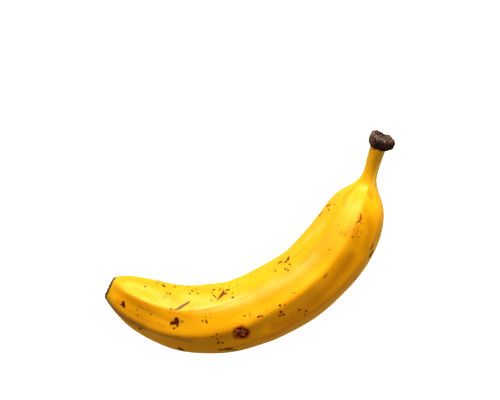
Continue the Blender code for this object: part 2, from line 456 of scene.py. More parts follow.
FAINT_SPOTS = (
    (((288.6, 257.2), (288.2, 259.8)), 0.43),
    (((219, 350), (228, 349.2), (236, 349.6)), 0.35),
    (((226, 348.4), (233, 347.9)), 0.2),
    (((170, 293.4),), 0.38),
    (((162.7, 285.1), (164.6, 286.6)), 0.38),
    (((215.3, 296.8),), 0.38),
    (((213.6, 295.4),), 0.33),
    (((226.3, 290.2), (228.8, 289.5)), 0.43),
    (((213.2, 290.2), (214.4, 290)), 0.43),
    (((338.3, 224.4),), 0.13),
    (((319.2, 215.5), (320.8, 213.9)), 0.38),
    (((326.8, 206.1), (330, 204.5)), 0.43),
    (((288, 270.2),), 0.38),
    (((285.2, 268.8),), 0.43),
    (((289.7, 264.3),), 0.43),
    (((285.4, 262.4), (286.6, 261.2)), 0.38),
    (((278.6, 262.8), (281.2, 261.4)), 0.43),
    (((136.9, 310.3),), 0.18),
    (((137.4, 315.2), (137.4, 316.2)), 0.13),
    (((151, 314.2),), 0.23),
    (((183.4, 321.4),), 0.08),
    (((205.5, 317.3),), 0.13),
    (((210.5, 317.3),), 0.13),
    (((166.9, 293.1),), 0.33),
    (((189.7, 293.6),), 0.38),
    (((197.8, 293.4),), 0.33),
    (((220, 288.6),), 0.28),
    (((171, 308.4),), 0.33),
    (((275.6, 271),), 0.38),
    (((291.7, 293),), 0.13),
    (((294.4, 293),), 0.13),
    (((326.4, 274.5),), 0.18),
    (((334.4, 204.5),), 0.33),
    (((328.5, 209.8),), 0.33),
    (((322.6, 212.1),), 0.33),
    (((329.8, 249.6),), 0.18),
    (((304.6, 249.6), (311.5, 249.6)), -0.2),
    (((311.5, 236.6),), 0),
    (((304.6, 255.4),), 0),
    (((354.7, 186.5),), 0.15),
    (((357.8, 185.2),), 0.1),
    (((345.1, 234.7),), 0.13),
    (((363.5, 266.5),), 0.18),
    (((189.7, 339.5),), 0),
    (((179.6, 338.1),), 0),
    (((212.6, 336.2),), 0.1),
    (((148.5, 309),), 0.08),
    (((142, 308),), 0.08),
    (((158.2, 281.2), (159.4, 281.4)), 0.28),
    (((156.6, 283.4),), 0.28),
    (((174.6, 286.6),), 0.43),
    (((145, 286.6),), 0.33),
    (((188.2, 286),), 0.23),
    (((191.4, 290.6), (193, 291.4)), 0.23),
    (((196.2, 289.2),), 0.28),
    (((212.2, 293),), 0.28),
    (((211.2, 300.6),), 0.23),
    (((232.6, 293),), 0.23),
    (((237, 285.2),), 0.23),
    (((229.4, 286.2),), 0.23),
    (((222.8, 289.4),), 0.28),
    (((219.6, 290.2),), 0.28),
    (((150.6, 318.4),), 0.03),
    (((159.4, 323.2),), 0.08),
    (((146, 303.2),), 0.03),
    (((138.6, 306.4),), -0.02),
    (((171.4, 309.2),), 0.38),
    (((181.2, 320.4), (184, 321.2)), -0.08),
    (((170, 325.6),), 0.13),
    (((176.2, 327.6),), 0.08),
    (((214.6, 333.4),), 0.13),
    (((219.2, 341.2),), 0.08),
    (((221.4, 336.6),), 0.08),
    (((187.2, 337.8),), 0),
    (((182, 338.6),), 0),
    (((178.4, 336.6),), 0.08),
    (((243.6, 316.2), (245.4, 315.4)), 0.08),
    (((249.4, 312.8),), 0.08),
    (((266.2, 309.6),), 0.03),
    (((286.4, 308.4),), 0.03),
    (((292.4, 313.6),), 0.08),
    (((271.4, 312.6),), 0.03),
    (((351.2, 220.4),), 0.08),
    (((347.6, 226.4),), 0.03),
    (((349.8, 231.6),), 0.03),
    (((364.2, 224.2),), 0.03),
    (((356, 241.6),), 0.03),
    (((248.8, 314.8), (250.2, 315.8)), -0.02),
    (((251.2, 314.4),), 0),
    (((346.2, 243.4),), 0.03),
)
RUBBED = (
    (((217.2, 299.4), (220.4, 297.4)), 0.35),
    (((220.4, 296.8), (223.4, 292.4)), 0.8),
    (((222.4, 294.6), (226.6, 293.4)), 0.55),
    (((222.4, 292), (223.2, 291)), 0.4),
    (((360.5, 213.8), (360.9, 217.6)), 0.1),
    (((360.9, 217.6), (359.6, 220.6)), 0.25),
    (((359.2, 221.5), (356.3, 222.5)), 0.15),
    (((361.2, 223.6),), 0.25),
    (((353.6, 229.7),), 0.25),
    (((358.1, 231.3),), 0.2),
    (((352, 237),), 0.3),
    (((358.1, 236.6),), 0.25),
    (((360.8, 232.4),), 0.2),
    (((173.8, 328.4),), 0.45),
)
SCRATCHES = (
    (((173.9, 309.7), (178.2, 308.8)), 0.32),
    (((178.4, 308.3), (183.2, 305.1)), 0.75),
    (((183.2, 305.1), (187.2, 302.9)), 0.6),
    (((187.2, 302.9), (189.2, 301.4)), 0.35),
)
STAINS = (
    (((164.3, 297.4),), 1.4),
    (((369.3, 193.6), (371, 196.6)), 1.8),
    (((344, 204), (346, 195.4), (352.8, 189.2)), 1.2),
    (((341.3, 232.8),), 1.2),
    (((360.8, 213.6), (360.2, 219)), 1),
    (((356.6, 227.4), (353, 236)), 1.8),
    (((281.6, 313.8),), 1.8),
    (((325.4, 276.4),), 1.3),
    (((173.6, 327.6),), 1.3),
    (((212.6, 336.2),), 1.2),
    (((285.6, 259.6), (280, 262.6)), 0.9),
    (((222.4, 294.2),), 1.9),
    (((360.4, 219),), 1.6),
    (((168.6, 312.3), (180.6, 314.9), (191.1, 318)), 0.5),
)
# Painted sheen: paler peel where the soft box's broad highlight falls on the upper facets
PAINTED_SHEEN_AREAS = (
    (((128, 284), (150, 290), (166, 300)), 0.4),
    (((186, 297), (208, 301)), 1.6),
    (((198, 309), (222, 306), (250, 297), (275, 284)), 1),
    (((262, 293), (292, 276), (314, 258)), 1),
    (((306, 240), (322, 226)), 0.6),
)
# Painted shade: deeper gold where the facets turn from the light, near the blossom end, along the belly and
# at the shoulder
DEEP_SHADE_AREAS = (
    (((113, 287), (124, 296), (140, 306), (160, 316), (178, 322)), -0.2),
    (((118, 303), (132, 313), (146, 320), (164, 326.5)), 0),
    (((274, 326), (290, 319.5), (306, 309), (318, 297.5)), 1.5),
    (((318, 297.5), (332, 283), (345, 266), (351, 256)), 0.3),
    (((345, 236), (353, 224)), -0.5),
    (((369, 220), (370, 232), (366, 250)), -1),
    (((350, 206), (357, 198)), -1.6),
)
# Painted shade: dark olive along the lower edge of the belly towards the blossom end
OLIVE_SHADE_AREAS = (
    (((107.5, 300.5), (115.5, 310.5), (127.5, 319.5), (143.5, 328)), 1),
    (((143.5, 328), (164, 335), (190, 341)), -0.5),
)
RICH_AREAS = (
    (((254, 282), (268, 276)), 0.2),
    (((205, 321), (236, 318), (262, 308), (300, 288), (326, 264)), 0.8),
    (((370, 188), (373, 206)), 2.4),
    (((342, 238), (352, 224)), 0.6),
)
CREASES = (
    (((190, 312), (205, 310.6), (214, 309), (222, 306.6), (233, 302.4), (244, 297.2), (258, 290.4)), -0.1),
    (((258, 290.4), (270, 284), (282, 277), (292, 269.6)), -0.4),
)
BRUISE = (
    (((240.8, 332), (243, 333)), 3.2),
    (((236.4, 332.6),), 1.8),
    (((242.2, 336.4),), 1.6),
)
BRUISE_HALO = (
    (((240.8, 332), (243, 333)), 4),
    (((236, 330.6), (235.4, 334), (236.2, 336.6)), 1.6),
)
SCAB = (
    (((236, 330.6), (239.7, 331.4)), 0.5),
    (((234.9, 332.6), (234.9, 334)), 0.5),
    (((237.1, 333.4),), 0.3),
    (((243, 329.6), (241.4, 331.1), (243.2, 331.4), (244, 332.8), (242.8, 334.5)), 0.42),
    (((244.4, 331.4), (245.9, 331.6)), 0.45),
    (((240.9, 333.6), (242.6, 335), (244.4, 335.3)), 0.35),
)

MILLIMETRE = 0.001
FAR = 9  # millimetres, past which no mark reaches

# The kinds of marks. Others of the same sizes are drawn at random where the picture can't see: how many,
# their half widths in millimetres, and how far they run in metres.
MARKS = (
    ("spot", SPOTS, 46, (0.35, 0.85), 0.0012),
    ("faint_spot", FAINT_SPOTS, 34, (0.3, 0.5), 0.0005),
    ("rubbed", RUBBED, 7, (0.4, 0.8), 0.003),
    ("scratch", SCRATCHES, 3, (0.3, 0.6), 0.006),
    ("stain", STAINS, 12, (0.9, 1.9), 0.003),
    # The pale rows are painted sheen and the deep and olive rows painted shade, also where drawn at random
    ("pale", PAINTED_SHEEN_AREAS, 5, (0.5, 2.5), 0.006),
    ("rich", RICH_AREAS, 5, (0.5, 2.5), 0.006),
    ("deep", DEEP_SHADE_AREAS, 5, (0.5, 1.5), 0.006),
    ("olive", OLIVE_SHADE_AREAS, 0, (0, 0), 0),
    ("crease", CREASES, 0, (0, 0), 0),
    ("bruise", BRUISE, 0, (0, 0), 0),
    ("halo", BRUISE_HALO, 0, (0, 0), 0),
    ("scab", SCAB, 0, (0, 0), 0),
)
UNSEEN_SEED = 11
UNSEEN_TURN = -0.3  # the upward part of the skin's direction, below which a mark may be drawn

# How deep the marks are sunk, and the distances from their edge, in millimetres, between which they rise
SINKS = (
    ("spot", 0.00012, -0.4, 0.35),
    ("scratch", 0.00014, -0.5, 0.2),
    ("rubbed", 0.00014, -0.5, 0.3),
    ("crease", 0.00013, -0.5, 1.4),
    ("bruise", 0.0003, -1.6, 0.6),
)
CRUST_HEIGHT = 0.00042
CRUST_GRAIN = 1100  # lumps of the scab, for each metre
CRUST_LEVEL = 0.35  # share of its height that it stands up everywhere
CRUST_LUMPS = (-0.2, 1)  # the lowest and the highest, as shares of its height
CRUST_RIM = (-0.2, 0.6)

WAVE_SEED = 4
WAVES = 26
WAVE_LENGTHS = (0.011, 0.05)
WAVE_LOBES = 5  # the most that go round the fruit
WAVE_HEIGHT = 0.00034
WAVE_END = (0.0016, 0.007)  # before the blossom end, which is even so that the scar fits on it


def distances(points, strokes):
    """How far each point is from the nearest stroke's edge, in millimetres, negative inside it."""
    nearest = np.full(len(points), float(FAR))
    for path, half_width in strokes:
        for start, end in zip(path, path[1:] or path):
            run = end - start
            share = np.clip((points - start) @ run / max(run @ run, 1e-12), 0, 1)
            away = np.linalg.norm(points - start - share[:, None] * run, axis=1) / MILLIMETRE
            nearest = np.minimum(nearest, away - half_width)
    return nearest


def on_the_peel(tree, strokes):
    """The strokes with each pixel as the point of the peel that the camera sees there."""
    found = []
    for path, half_width in strokes:
        hits = [tree.ray_cast(*ray_through(pixel))[0] for pixel in path]
        hits = [np.array(hit) for hit in hits if hit]
        if hits:
            found.append((hits, half_width))
    return found


def unseen(points, normals, amount, sizes, longest, seed):
    """Short strokes at random places on the sides that face away from the camera."""
    draw = random.Random(seed)
    hidden = [i for i in range(len(points)) if normals[i, 2] < UNSEEN_TURN and points[i, 2] > MILLIMETRE]
    strokes = []
    for mark in range(amount):
        start = points[draw.choice(hidden)]
        end = start + np.array([draw.uniform(-1, 1) for axis in range(3)]) * longest
        strokes.append(((start, end), draw.uniform(*sizes)))
    return strokes


def peel_waves(unbent):
    """The gentle unevenness of the skin, as a height for each point."""
    draw = random.Random(WAVE_SEED)
    turn = np.arctan2(unbent[:, 2], unbent[:, 1])
    height = np.zeros(len(unbent))
    for wave in range(WAVES):
        length = draw.uniform(*WAVE_LENGTHS)
        lobes = draw.randint(-WAVE_LOBES, WAVE_LOBES)
        phase = math.tau * unbent[:, 0] / length + lobes * turn + draw.uniform(0, math.tau)
        height += np.sin(phase) * length
    return height / (max(WAVE_LENGTHS) * math.sqrt(WAVES)) * WAVE_HEIGHT


def within(value, low, high):
    """A smooth step from 0 at low to 1 at high."""
    share = np.clip((value - low) / (high - low), 0, 1)
    return share * share * (3 - 2 * share)


def rough_at(points, grain, smoothness, octaves):
    """Rough noise at each point, from about -1 to 1."""
    return np.array([noise.fractal(Vector(point * grain), smoothness, 2, octaves) for point in points])


def from_the_ridges(unbent):
    """How many degrees each point is from the nearest ridge."""
    turn = np.degrees(np.arctan2(unbent[:, 2] / BODY_ROUNDNESS, unbent[:, 1]))
    nearest = np.full(len(unbent), 180.0)
    for angles, heights, roundings in RIDGES:
        away = np.abs((turn - through(angles, unbent[:, 0] / LENGTH) + 180) % 360 - 180)
        nearest = np.minimum(nearest, away)
    return nearest


def measured(bm):
    """Each point's place, its normal and its place on the unbent fruit."""
    kept = bm.verts.layers.float_vector["unbent"]
    points = np.array([vert.co for vert in bm.verts])
    normals = np.array([vert.normal for vert in bm.verts])
    return points, normals, np.array([vert[kept] for vert in bm.verts])


def finished_mesh(name, bm, moved, fields):
    """The bmesh as a smooth object in the scene, its points moved and with a value for each named field."""
    layers = [(bm.verts.layers.float.new(field), values) for field, values in fields.items()]
    for number, vert in enumerate(bm.verts):
        vert.co = moved[number]
        for layer, values in layers:
            vert[layer] = values[number]
    mesh = bpy.data.meshes.new(name)
    bm.to_mesh(mesh)
    bm.free()
    mesh.shade_smooth()
    piece = bpy.data.objects.new(name, mesh)
    bpy.context.scene.collection.objects.link(piece)
    return piece


def make_peel():
    bm = peel_form()
    tree = BVHTree.FromBMesh(bm)
    points, normals, unbent = measured(bm)
    fields = {}
    for seed, (field, strokes, amount, sizes, longest) in enumerate(MARKS, UNSEEN_SEED):
        hidden = unseen(points, normals, amount, sizes, longest, seed)
        fields[field] = distances(points, on_the_peel(tree, strokes) + hidden)
    fields["ridge"] = from_the_ridges(unbent)
    relief = peel_waves(unbent) * within(LENGTH - unbent[:, 0], *WAVE_END)
    for field, depth, low, high in SINKS:
        relief -= depth * (1 - within(fields[field], low, high))
    lumps = np.clip(CRUST_LEVEL + rough_at(unbent, CRUST_GRAIN, 1, 3), *CRUST_LUMPS)
    relief += (1 - within(fields["scab"], *CRUST_RIM)) * lumps * CRUST_HEIGHT
    moved = points + relief[:, None] * normals
    moved[:, 2] = np.maximum(moved[:, 2], TABLE_PRESS / 4)
    return finished_mesh("peel", bm, moved, fields)


def painted(red, green, blue):
    """A colour from its 0 to 255 values on a screen, as light."""
    parts = (value / 255 for value in (red, green, blue))
    return (*(part / 12.92 if part <= 0.04045 else ((part + 0.055) / 1.055) ** 2.4 for part in parts), 1)


def plus(tree, first, second):
    return worked_out(tree, "ADD", first, second)


def centred(tree, patches):
    """Patches that run from -0.5 to 0.5."""
    return worked_out(tree, "SUBTRACT", patches, 0.5)


def stepped(tree, value, low, high, to_low=0, to_high=1):
    """A smooth step between two values."""
    return ranged(tree, value, low, high, to_low, to_high, "SMOOTHSTEP")


def over(tree, colour, paint, value, *fade):
    """The paint over the colour, where the value steps through the fade."""
    return blended(tree, stepped(tree, value, *fade), colour, paint)


def speckle(tree, vector, scale, detail=3, roughness=0.55, distortion=0):
    """Soft random patches, as a value from 0 to 1."""
    inputs = {"Vector": vector, "Scale": scale, "Detail": detail, "Roughness": roughness}
    return add(tree, "TexNoise", {**inputs, "Distortion": distortion}).outputs[0]


def streaky(tree, vector, along, scale, detail=3, roughness=0.55):
    """Random patches on the unbent fruit, which is squeezed so that they become streaks."""
    squeezed = add(tree, "Mapping", {"Vector": vector, "Scale": (along, 1, 1)}).outputs[0]
    return speckle(tree, squeezed, scale, detail, roughness)


def field(tree, name, output="Fac"):
    return add(tree, "Attribute", attribute_name=name).outputs[output]


def ragged_edge(tree, name, noise_there):
    """The distance from a mark's edge, made uneven."""
    return plus(tree, field(tree, name), times(tree, noise_there, RAGGED[name]))


def bumped(tree, height, strength):
    """The normal of a surface with that unevenness."""
    inputs = {"Strength": strength, "Distance": BUMP_DEPTH, "Height": height}
    return add(tree, "Bump", inputs).outputs[0]


FIBRE_SQUEEZE = 0.09
FIBRE_DETAIL = (4, 0.6)
PALE_FIBRES = (0.52, 0.72)


def fibre_group():
    """Fine fibres along the fruit: a height for the bump, and a mask of the pale ones."""
    tree = bpy.data.node_groups.new("fibres", "ShaderNodeTree")
    tree.interface.new_socket("Vector", in_out="INPUT", socket_type="NodeSocketVector")
    tree.interface.new_socket("Fineness", in_out="INPUT", socket_type="NodeSocketFloat")
    tree.interface.new_socket("Height", in_out="OUTPUT", socket_type="NodeSocketFloat")
    tree.interface.new_socket("Pale", in_out="OUTPUT", socket_type="NodeSocketFloat")
    given = tree.nodes.new("NodeGroupInput").outputs
    result = tree.nodes.new("NodeGroupOutput").inputs
    height = streaky(tree, given["Vector"], FIBRE_SQUEEZE, given["Fineness"], *FIBRE_DETAIL)
    tree.links.new(height, result["Height"])
    tree.links.new(stepped(tree, height, *PALE_FIBRES), result["Pale"])
    return tree


FIBRES = fibre_group()


def fibres(tree, vector, fineness):
    made = tree.nodes.new("ShaderNodeGroup")
    made.node_tree = FIBRES
    tree.links.new(vector, made.inputs["Vector"])
    made.inputs["Fineness"].default_value = fineness
    return made.outputs


GOLDEN = painted(242, 184, 10)
LEMON = painted(246, 190, 28)
SHADED = painted(230, 181, 26)
# Paler peel for the painted sheen
PAINTED_SHEEN = painted(248, 203, 88)
# Painted shade of the inner side
INNER_PAINTED_SHADE = (0.95, 0.9, 1, 1)
RICH = painted(248, 194, 4)
# A deeper gold, for random mottling of the peel and for painted shade
DEEP_TONE_AND_SHADE = painted(214, 150, 11)
SHADE_OLIVE = painted(168, 122, 10)
DEEP_GOLD = painted(236, 164, 6)
WAX_TINT = (1, 0.9, 0.66, 1)
NECK_GOLD = painted(236, 188, 32)
# Painted light on the neck's outer side
NECK_PAINTED_LIGHT = painted(250, 214, 110)
OLIVE = painted(200, 168, 40)
STAIN_ORANGE = painted(222, 148, 12)
FAINT_BROWN = painted(138, 82, 20)
FAINT_OLIVE = painted(92, 66, 20)
SPOT_MAROON = painted(98, 32, 18)
SPOT_EDGE = painted(158, 88, 20)
RUBBED_RED = painted(120, 70, 18)
RUBBED_DARK = painted(98, 44, 16)
SCRATCH_GREY = painted(126, 102, 66)
SCRATCH_EDGE = painted(94, 64, 30)
CRUST_TAN = painted(216, 150, 84)
CRUST_DARK = painted(142, 66, 30)
RING_MAROON = painted(124, 20, 8)
HALO_BROWN = painted(184, 80, 18)


# Random patches: how far streaks are squeezed along the fruit, then how many there are for each metre,
# their detail, roughness and distortion
PATCHES = (0.35, 55)
STREAKS = (0.12, 260)
MOTTLING = (0.5, 700, 3, 0.65)
PEEL_FIBRES = 1500
WORN_GRAIN = 130
RAGGED_GRAIN = 1300
FRECKLE_GRAIN = 290
FRECKLED_GRAIN = (60, 2)
BRUISE_GRAIN = 300
SCAB_GRAIN = (900, 3, 0.6, 1.2)
SKIN_GRAIN = (900, 3, 0.6)

# The fades: the values from which and to which a layer grows, and how strong it is at first and at last.
# They are shares for patches, metres for places on the unbent fruit and millimetres from a mark's edge.
LEMON_FADE = (0.36, 0.64)
STREAK_FADE = (0.48, 0.72, 0, 0.35)
MOTTLED_FADE = (0.5, 0.72, 0, 0.2)
SHADED_FADE = (0.006, -0.004, 0, 0.7)
AREA_FADE = (4.2, -1.6, 0, 0.85)
INNER_SHADE_FADE = (-0.003, -0.011)
CREASE_SHADE_FADE = (0.9, -0.2, 0, 0.4)
RIDGE_FADE = (5, 1)  # degrees from the ridge
WORN_FADE = (0.4, 0.66, 0, 0.5)
NECK_FADE = (0.034, 0.022, 0, 0.75)
NECK_LIGHT_FADE = (0.032, 0.02)
NECK_LIGHT_SIDE_FADE = (0.0005, 0.0032)
GREEN_NECK_FADE = (0.019, 0.0075)
GREEN_STREAK_FADE = (0.4, 0.7, 0.1, 0.6)
TIP_DRIFT = (0.3, 0.7, -0.002, 0.002)
TIP_FADE = (0.198, 0.2075, 0, 0.65)
STAIN_FADE = (0.9, -1.3, 0, 0.6)
FRECKLE_SIZES = (0.72, 1, 0, 0.17)
FRECKLED_FADE = (0.5, 0.62, 0, 0.55)
FAINT_FADE = (0.45, 0.1, 0, 0.95)
RUBBED_FADE = (0.4, -0.1, 0, 0.9)
TORN_FADE = (0.2, -0.2)
TORN_GRAIN_FADE = (0.02, 0.1, 0, 0.85)
SCRATCH_EDGE_FADE = (0.22, -0.05)
SCRATCH_FADE = (-0.2, -0.45, 0, 0.85)
SPOT_EDGE_FADE = (0.55, 0.1, 0, 0.55)
SPOT_FADE = (0.24, -0.12)
HALO_FADE = (1.4, -1.2, 0, 0.85)
RING_FADE = (0.7, -0.8)
CRUST_FADE = (0.35, -0.1)
CRUST_TAN_FADE = (0.38, 0.5)

# How far the edges of marks wander in all, in millimetres
RAGGED = {
    "pale": 3.6,
    "rich": 3.6,
    "deep": 3.6,
    "olive": 3.6,
    "stain": 2.2,
    "faint_spot": 0.6,
    "rubbed": 1.3,
    "scratch": 0.5,
    "spot": 0.75,
    "halo": 2.4,
    "bruise": 2.4,
    "scab": 1.2,
}

PEEL_ROUGHNESS = (0.3, 0.7, 0.4, 0.48)  # as a fade over the patches
FIBRE_ROUGHNESS = (0.4, 0.7, 0, 0.05)
SPOT_ROUGHNESS = 0.62
RING_ROUGHNESS = 0.6
CRUST_ROUGHNESS = 0.85
FIBRE_BUMP = 0.6
SKIN_BUMP = 0.4
CRUST_BUMP = 4
PEEL_BUMP = 0.22
BUMP_DEPTH = 0.0002
SUBSURFACE = 0.1
SUBSURFACE_RADIUS = (1, 0.42, 0.06)
SUBSURFACE_SCALE = 0.0015


def peel_material():
    material, tree, shader = new_material("ripe_peel")
    place = add(tree, "TexCoord").outputs["Object"]
    unbent = field(tree, "unbent", "Vector")
    along, outwards, upwards = add(tree, "SeparateXYZ", {0: unbent}).outputs
    fine = fibres(tree, unbent, PEEL_FIBRES)["Height"]

    patches = streaky(tree, unbent, *PATCHES)
    streaks = streaky(tree, unbent, *STREAKS)
    colour = over(tree, GOLDEN, LEMON, patches, *LEMON_FADE)
    colour = over(tree, colour, DEEP_GOLD, streaks, *STREAK_FADE)
    colour = over(tree, colour, DEEP_TONE_AND_SHADE, streaky(tree, unbent, *MOTTLING), *MOTTLED_FADE)
    colour = over(tree, colour, SHADED, upwards, *SHADED_FADE)
    drift = centred(tree, patches)
    # Painted sheen on the pale areas, a richer yellow, and painted shade on the deep and olive areas, each
    # with a ragged edge
    for name, paint in (("pale", PAINTED_SHEEN), ("rich", RICH), ("deep", DEEP_TONE_AND_SHADE), ("olive", SHADE_OLIVE)):
        colour = over(tree, colour, paint, ragged_edge(tree, name, drift), *AREA_FADE)
    # Painted shade: the inner side of the bend, which faces the soft box, is dimmed
    inner = stepped(tree, outwards, *INNER_SHADE_FADE)
    colour = blended(tree, inner, colour, INNER_PAINTED_SHADE, "MULTIPLY")
    # Painted shade: a thin dark olive line along the shallow crease beside a ridge
    colour = over(tree, colour, SHADE_OLIVE, field(tree, "crease"), *CREASE_SHADE_FADE)
    worn = stepped(tree, speckle(tree, place, WORN_GRAIN), *WORN_FADE)
    worn = times(tree, worn, stepped(tree, field(tree, "ridge"), *RIDGE_FADE))
    colour = blended(tree, worn, colour, DEEP_GOLD)
    colour = over(tree, colour, NECK_GOLD, along, *NECK_FADE)
    # Painted light: the outer side of the neck, turned from the soft box, is made paler
    lit_neck_side = times(tree, stepped(tree, along, *NECK_LIGHT_FADE), stepped(tree, outwards, *NECK_LIGHT_SIDE_FADE))
    colour = blended(tree, lit_neck_side, colour, NECK_PAINTED_LIGHT)
    green = times(tree, stepped(tree, along, *GREEN_NECK_FADE), stepped(tree, streaks, *GREEN_STREAK_FADE))
    colour = blended(tree, green, colour, OLIVE)
    tip = plus(tree, along, stepped(tree, patches, *TIP_DRIFT))
    colour = over(tree, colour, OLIVE, tip, *TIP_FADE)

    ragged = centred(tree, speckle(tree, place, RAGGED_GRAIN))
    colour = over(tree, colour, STAIN_ORANGE, ragged_edge(tree, "stain", ragged), *STAIN_FADE)

    cells = add(tree, "TexVoronoi", {"Vector": place, "Scale": FRECKLE_GRAIN}).outputs
    chance = add(tree, "SeparateColor", {0: cells["Color"]}).outputs[0]
    freckle = worked_out(tree, "LESS_THAN", cells["Distance"], stepped(tree, chance, *FRECKLE_SIZES))
    freckled = stepped(tree, speckle(tree, place, *FRECKLED_GRAIN), *FRECKLED_FADE)
    colour = blended(tree, times(tree, freckle, freckled), colour, FAINT_BROWN)

    # Painted shade: the faint spots are a darker olive on the lit inner side and brown elsewhere
    faint_colour = blended(tree, inner, FAINT_BROWN, FAINT_OLIVE)
    colour = over(tree, colour, faint_colour, ragged_edge(tree, "faint_spot", ragged), *FAINT_FADE)

    rubbed = ragged_edge(tree, "rubbed", ragged)
    colour = over(tree, colour, RUBBED_RED, rubbed, *RUBBED_FADE)
    torn = times(tree, stepped(tree, rubbed, *TORN_FADE), stepped(tree, ragged, *TORN_GRAIN_FADE))
    colour = blended(tree, torn, colour, RUBBED_DARK)

    scratch = ragged_edge(tree, "scratch", ragged)
    colour = over(tree, colour, SCRATCH_EDGE, scratch, *SCRATCH_EDGE_FADE)
    colour = over(tree, colour, SCRATCH_GREY, scratch, *SCRATCH_FADE)

    spot = ragged_edge(tree, "spot", ragged)
    colour = over(tree, colour, SPOT_EDGE, spot, *SPOT_EDGE_FADE)
    dark = stepped(tree, spot, *SPOT_FADE)
    colour = blended(tree, dark, colour, SPOT_MAROON)

    uneven = centred(tree, speckle(tree, place, BRUISE_GRAIN))
    colour = over(tree, colour, HALO_BROWN, ragged_edge(tree, "halo", uneven), *HALO_FADE)
    ring = stepped(tree, ragged_edge(tree, "bruise", uneven), *RING_FADE)
    colour = blended(tree, ring, colour, RING_MAROON)
    crust = stepped(tree, ragged_edge(tree, "scab", ragged), *CRUST_FADE)
    lumps = speckle(tree, unbent, *SCAB_GRAIN)
    colour = blended(tree, crust, colour, over(tree, CRUST_DARK, CRUST_TAN, lumps, *CRUST_TAN_FADE))
    tree.links.new(colour, shader.inputs["Base Color"])

    rough = plus(tree, stepped(tree, patches, *PEEL_ROUGHNESS), stepped(tree, fine, *FIBRE_ROUGHNESS))
    for mask, roughness in ((dark, SPOT_ROUGHNESS), (ring, RING_ROUGHNESS), (crust, CRUST_ROUGHNESS)):
        rough = worked_out(tree, "MAXIMUM", rough, times(tree, mask, roughness))
    tree.links.new(rough, shader.inputs["Roughness"])

    skin = times(tree, speckle(tree, place, *SKIN_GRAIN), SKIN_BUMP)
    height = plus(tree, times(tree, fine, FIBRE_BUMP), skin)
    height = plus(tree, height, times(tree, times(tree, crust, lumps), CRUST_BUMP))
    tree.links.new(bumped(tree, height, PEEL_BUMP), shader.inputs["Normal"])
    shader.inputs["Specular Tint"].default_value = WAX_TINT
    shader.inputs["Subsurface Weight"].default_value = SUBSURFACE
    shader.inputs["Subsurface Radius"].default_value = SUBSURFACE_RADIUS
    shader.inputs["Subsurface Scale"].default_value = SUBSURFACE_SCALE
    return material


peel = make_peel()
peel.data.materials.append(peel_material())
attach(peel, "root")
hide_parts("banana")


# The stump is where the fruit was cut from its hand: dried, woody and almost black, with two lobes, a notch
# between them and a hollow cut face. Its lower edge shrinks onto the neck.
STUMP_FACE_COLUMNS = 44
STUMP_CAP_RINGS = 46
STUMP_WALL_RINGS = 60
STUMP_TO = 0.0074
STUMP_EDGE = 0.0066  # where it ends on the neck
STUMP_EDGE_WOBBLE = 0.001
STUMP_EDGE_LUMPS = 1.7  # for each radius
STUMP_EDGE_STEP = (-0.0003, 0.00045)
STUMP_PROUD = 0.00012  # of the neck
STUMP_TUCK = 0.0008  # under the peel, past its edge
STUMP_BACK = (0.66, 0.33, 0)  # shares of the radius of the rings that close it inside the neck
FACE_HOLLOW = 0.0009
FACE_RIM = (0.9, 1.12)  # shares of the radius between which the face ends

# The hollow of the outer lobe: its angle, shares of the radius for its place and size, and its depth
FACE_SOCKET = (math.radians(332), 0.56, 0.34, 0.0008)

# Unevenness for each metre, and how high it is
WOOD_GRAIN = (155, 620, 620)
FINE_GRAIN = 930
PIT_GRAIN = 775
WOOD_RELIEF = 0.00034
WALL_RELIEF = 0.00008
FACE_RELIEF = 0.00016
PIT_RELIEF = 0.00055
PIT_SIZES = (0.42, 0.58)
PIT_LEAN = 0.7  # the pits are on the face's lower inner side
PIT_SIDE = (-0.0012, 0.0012)
ROLL_AT = 0.86  # the rolled rim of the face, as a share of the radius
ROLL_WIDTH = 0.16
ROLL_TO = 0.0012
ROLL_RELIEF = 0.00022
ROLL_LUMPS = 0.0003
CALM_FROM = 0.0012  # before its edge
CALM_RELIEF = 0.25  # share of the unevenness that the edge keeps


def wobbled(turn, level, lumps):
    """The raggedness of a rim, from about -1 to 1, at these angles round it."""
    ring = np.stack([np.cos(turn), np.sin(turn), np.full(len(turn), level)], axis=1)
    return rough_at(ring, lumps, 1, 3)


def stump_form():
    """The plain stump: its face, its wall and its edge on the neck."""
    face = np.linspace(0, 1, STUMP_CAP_RINGS, endpoint=False)
    wall = np.linspace(0, STUMP_TO, STUMP_WALL_RINGS)
    along = np.concatenate([np.zeros(len(face)), wall, np.full(len(STUMP_BACK), STUMP_TO)])
    share = np.concatenate([face, np.ones(len(wall)), STUMP_BACK])[:, None]
    angle, radius = peel_radii(along, STUMP_FACE_COLUMNS)
    radius, roundness = with_stump(along, angle, radius)
    radius = radius - rounded_off(along, STUMP_RIM)[:, None]
    edge = STUMP_EDGE + STUMP_EDGE_WOBBLE * wobbled(np.radians(angle[-1]), 0, STUMP_EDGE_LUMPS)
    tucked = within(along[:, None], edge + STUMP_EDGE_STEP[0], edge + STUMP_EDGE_STEP[1])
    radius = radius + STUMP_PROUD * (1 - tucked) - STUMP_TUCK * tucked
    hollow = np.where(along[:, None] == 0, FACE_HOLLOW * (1 - share**4), 0)
    return rolled_up(*placed(along, angle, radius * share, roundness, hollow))


